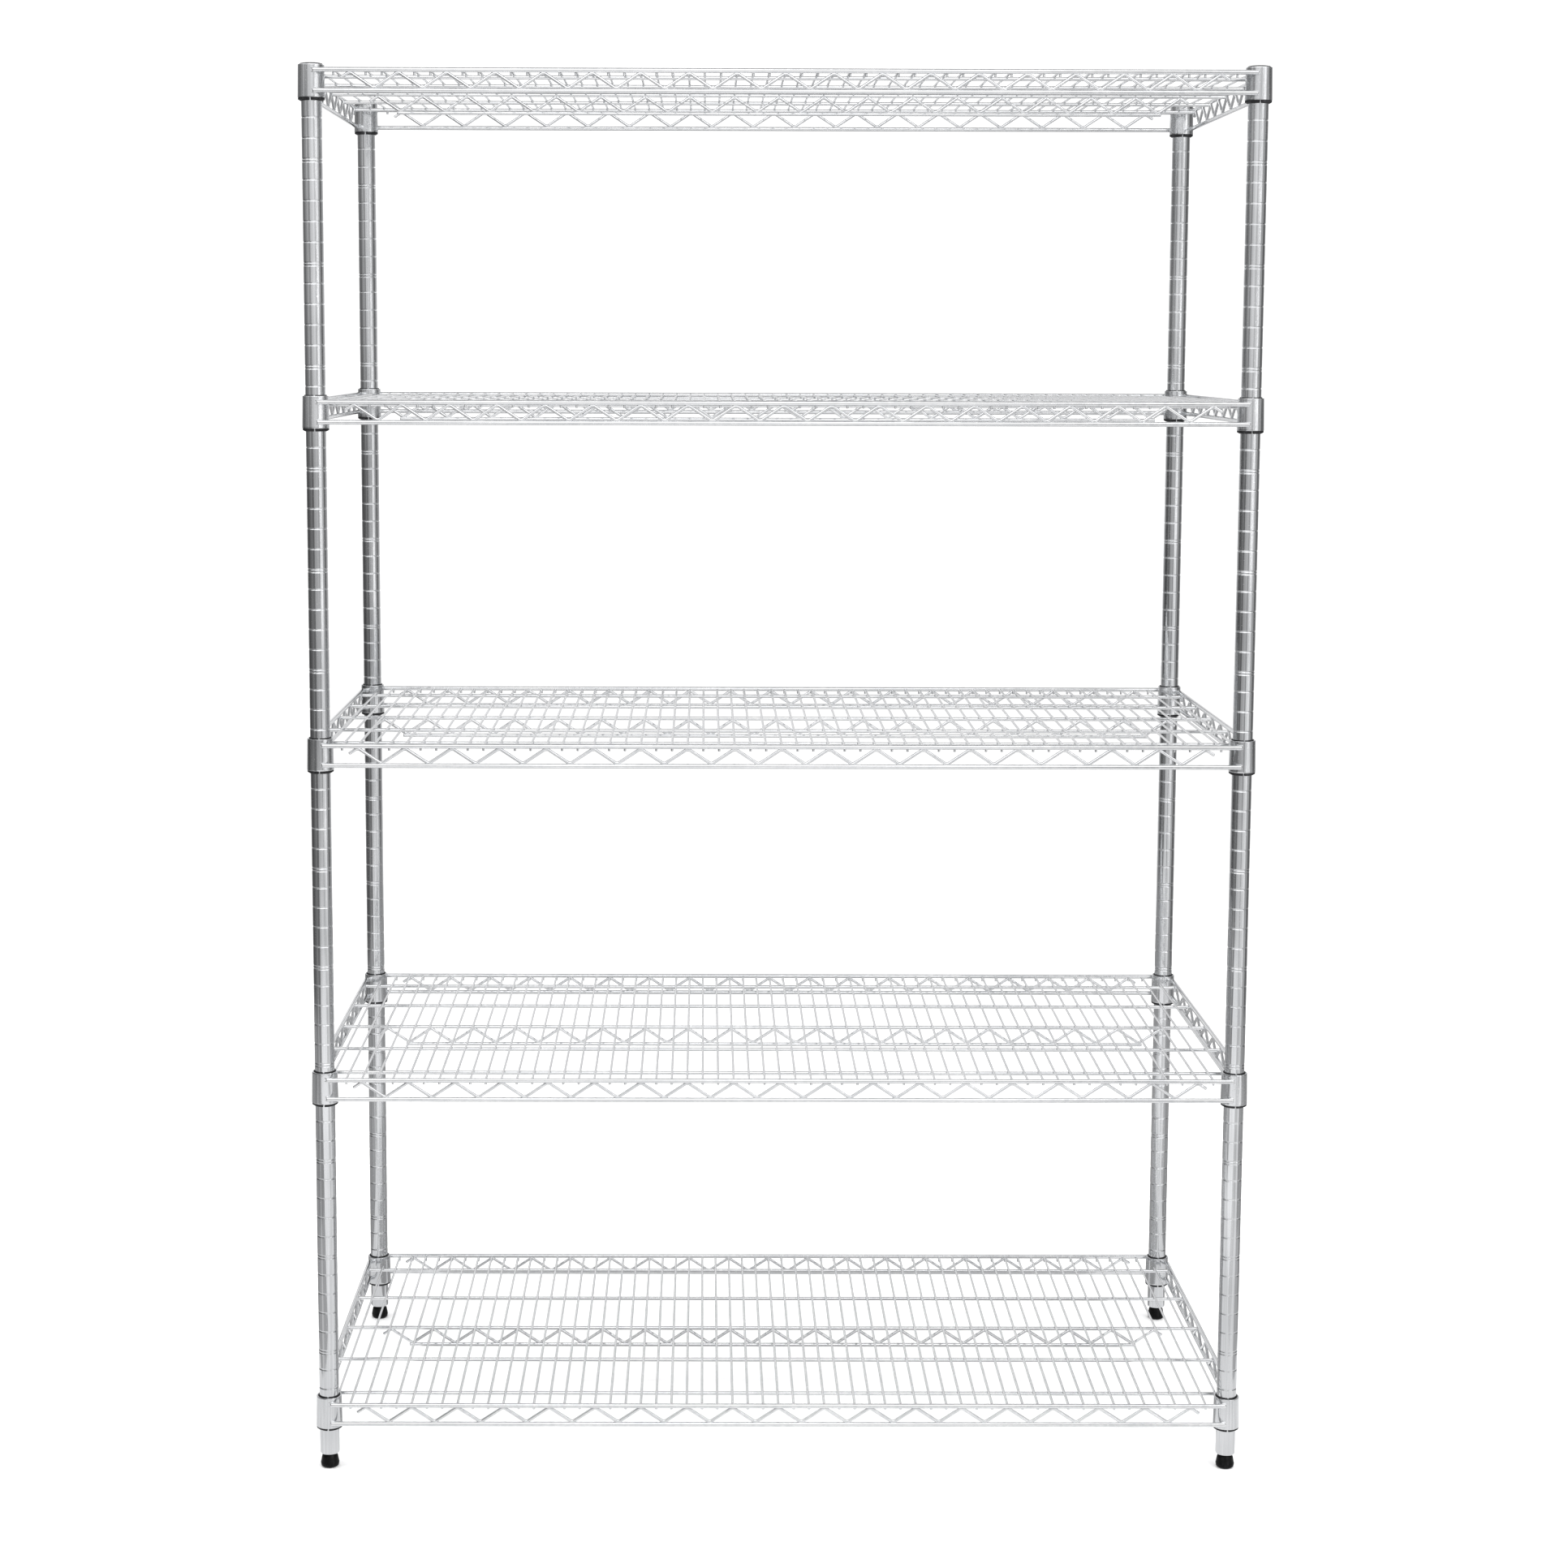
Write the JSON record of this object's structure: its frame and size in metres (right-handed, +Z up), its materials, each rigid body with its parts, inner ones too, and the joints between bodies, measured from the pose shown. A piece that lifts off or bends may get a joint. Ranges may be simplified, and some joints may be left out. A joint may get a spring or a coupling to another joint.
{
  "type": "wire shelving rack",
  "caption": "Free-standing chromed wire shelving rack: grooved tube posts on screw feet, open zigzag-trussed wire shelves that lift off split sleeves",
  "frame": {"origin": "on the floor, under the middle of the rack", "axes": "+Z up, +X along the shelves to the right, front face towards -Y"},
  "size_m": [1.204, 0.6088, 1.8],
  "materials": {
    "chrome_post": "bright chrome plate with faint drawn lines",
    "chrome_collar": "chrome plate over pressed steel, faintly brushed",
    "chrome_wire": "bright chrome plated wire",
    "zinc_steel": "zinc plated",
    "black_plastic": "satin moulded black",
    "foot_plastic": "hard black, slightly glossy"
  },
  "bodies": {
    "frame": {"post_front_left": "chrome_post", "post_front_right": "chrome_post", "post_rear_left": "chrome_post", "post_rear_right": "chrome_post", "post_caps": "black_plastic", "foot_inserts": "zinc_steel", "shelf_1_sleeves": "black_plastic", "shelf_2_sleeves": "black_plastic", "shelf_3_sleeves": "black_plastic", "shelf_4_sleeves": "black_plastic", "shelf_5_sleeves": "black_plastic"},
    "shelf_1": {"shelf_1_collars": "chrome_collar", "shelf_1_rails": "chrome_wire", "shelf_1_front_truss_wire": "chrome_wire", "shelf_1_rear_truss_wire": "chrome_wire", "shelf_1_side_truss_wires": "chrome_wire", "shelf_1_centre_truss_wire": "chrome_wire", "shelf_1_runners": "chrome_wire", "shelf_1_mat_wires": "chrome_wire"},
    "shelf_2": {"shelf_2_collars": "chrome_collar", "shelf_2_rails": "chrome_wire", "shelf_2_front_truss_wire": "chrome_wire", "shelf_2_rear_truss_wire": "chrome_wire", "shelf_2_side_truss_wires": "chrome_wire", "shelf_2_centre_truss_wire": "chrome_wire", "shelf_2_runners": "chrome_wire", "shelf_2_mat_wires": "chrome_wire"},
    "shelf_3": {"shelf_3_collars": "chrome_collar", "shelf_3_rails": "chrome_wire", "shelf_3_front_truss_wire": "chrome_wire", "shelf_3_rear_truss_wire": "chrome_wire", "shelf_3_side_truss_wires": "chrome_wire", "shelf_3_centre_truss_wire": "chrome_wire", "shelf_3_runners": "chrome_wire", "shelf_3_mat_wires": "chrome_wire"},
    "shelf_4": {"shelf_4_collars": "chrome_collar", "shelf_4_rails": "chrome_wire", "shelf_4_front_truss_wire": "chrome_wire", "shelf_4_rear_truss_wire": "chrome_wire", "shelf_4_side_truss_wires": "chrome_wire", "shelf_4_centre_truss_wire": "chrome_wire", "shelf_4_runners": "chrome_wire", "shelf_4_mat_wires": "chrome_wire"},
    "shelf_5": {"shelf_5_collars": "chrome_collar", "shelf_5_rails": "chrome_wire", "shelf_5_front_truss_wire": "chrome_wire", "shelf_5_rear_truss_wire": "chrome_wire", "shelf_5_side_truss_wires": "chrome_wire", "shelf_5_centre_truss_wire": "chrome_wire", "shelf_5_runners": "chrome_wire", "shelf_5_mat_wires": "chrome_wire"},
    "stem_front_left": {"foot_stem_front_left": "zinc_steel"},
    "boot_front_left": {"foot_boot_front_left": "foot_plastic"},
    "stem_front_right": {"foot_stem_front_right": "zinc_steel"},
    "boot_front_right": {"foot_boot_front_right": "foot_plastic"},
    "stem_rear_left": {"foot_stem_rear_left": "zinc_steel"},
    "boot_rear_left": {"foot_boot_rear_left": "foot_plastic"},
    "stem_rear_right": {"foot_stem_rear_right": "zinc_steel"},
    "boot_rear_right": {"foot_boot_rear_right": "foot_plastic"}
  },
  "joints": [
    {"name": "shelf_1_lift", "type": "slide", "parent": "frame", "child": "shelf_1", "axis": [0, 0, 1], "range_m": [0, 0.385]},
    {"name": "shelf_2_lift", "type": "slide", "parent": "frame", "child": "shelf_2", "axis": [0, 0, 1], "range_m": [0, 0.385]},
    {"name": "shelf_3_lift", "type": "slide", "parent": "frame", "child": "shelf_3", "axis": [0, 0, 1], "range_m": [0, 0.385]},
    {"name": "shelf_4_lift", "type": "slide", "parent": "frame", "child": "shelf_4", "axis": [0, 0, 1], "range_m": [0, 0.36]},
    {"name": "shelf_5_lift", "type": "slide", "parent": "frame", "child": "shelf_5", "axis": [0, 0, 1], "range_m": [0, 0.1]},
    {"name": "foot_front_left_extend", "type": "slide", "parent": "frame", "child": "stem_front_left", "axis": [0, 0, -1], "range_m": [0, 0.012]},
    {"name": "foot_front_left_turn", "type": "hinge", "parent": "stem_front_left", "child": "boot_front_left", "pos_m": [-0.585, -0.283, 0.008], "axis": [0, 0, 1], "range_deg": [0, 2880]},
    {"name": "foot_front_right_extend", "type": "slide", "parent": "frame", "child": "stem_front_right", "axis": [0, 0, -1], "range_m": [0, 0.012]},
    {"name": "foot_front_right_turn", "type": "hinge", "parent": "stem_front_right", "child": "boot_front_right", "pos_m": [0.585, -0.283, 0.008], "axis": [0, 0, 1], "range_deg": [0, 2880]},
    {"name": "foot_rear_left_extend", "type": "slide", "parent": "frame", "child": "stem_rear_left", "axis": [0, 0, -1], "range_m": [0, 0.012]},
    {"name": "foot_rear_left_turn", "type": "hinge", "parent": "stem_rear_left", "child": "boot_rear_left", "pos_m": [-0.585, 0.283, 0.008], "axis": [0, 0, 1], "range_deg": [0, 2880]},
    {"name": "foot_rear_right_extend", "type": "slide", "parent": "frame", "child": "stem_rear_right", "axis": [0, 0, -1], "range_m": [0, 0.012]},
    {"name": "foot_rear_right_turn", "type": "hinge", "parent": "stem_rear_right", "child": "boot_rear_right", "pos_m": [0.585, 0.283, 0.008], "axis": [0, 0, 1], "range_deg": [0, 2880]}
  ],
  "couplings": [
    {"joint": "foot_front_left_turn", "follows": "foot_front_left_extend", "rad_per_m": 4188.8},
    {"joint": "foot_front_right_turn", "follows": "foot_front_right_extend", "rad_per_m": 4188.8},
    {"joint": "foot_rear_left_turn", "follows": "foot_rear_left_extend", "rad_per_m": 4188.8},
    {"joint": "foot_rear_right_turn", "follows": "foot_rear_right_extend", "rad_per_m": 4188.8}
  ]
}
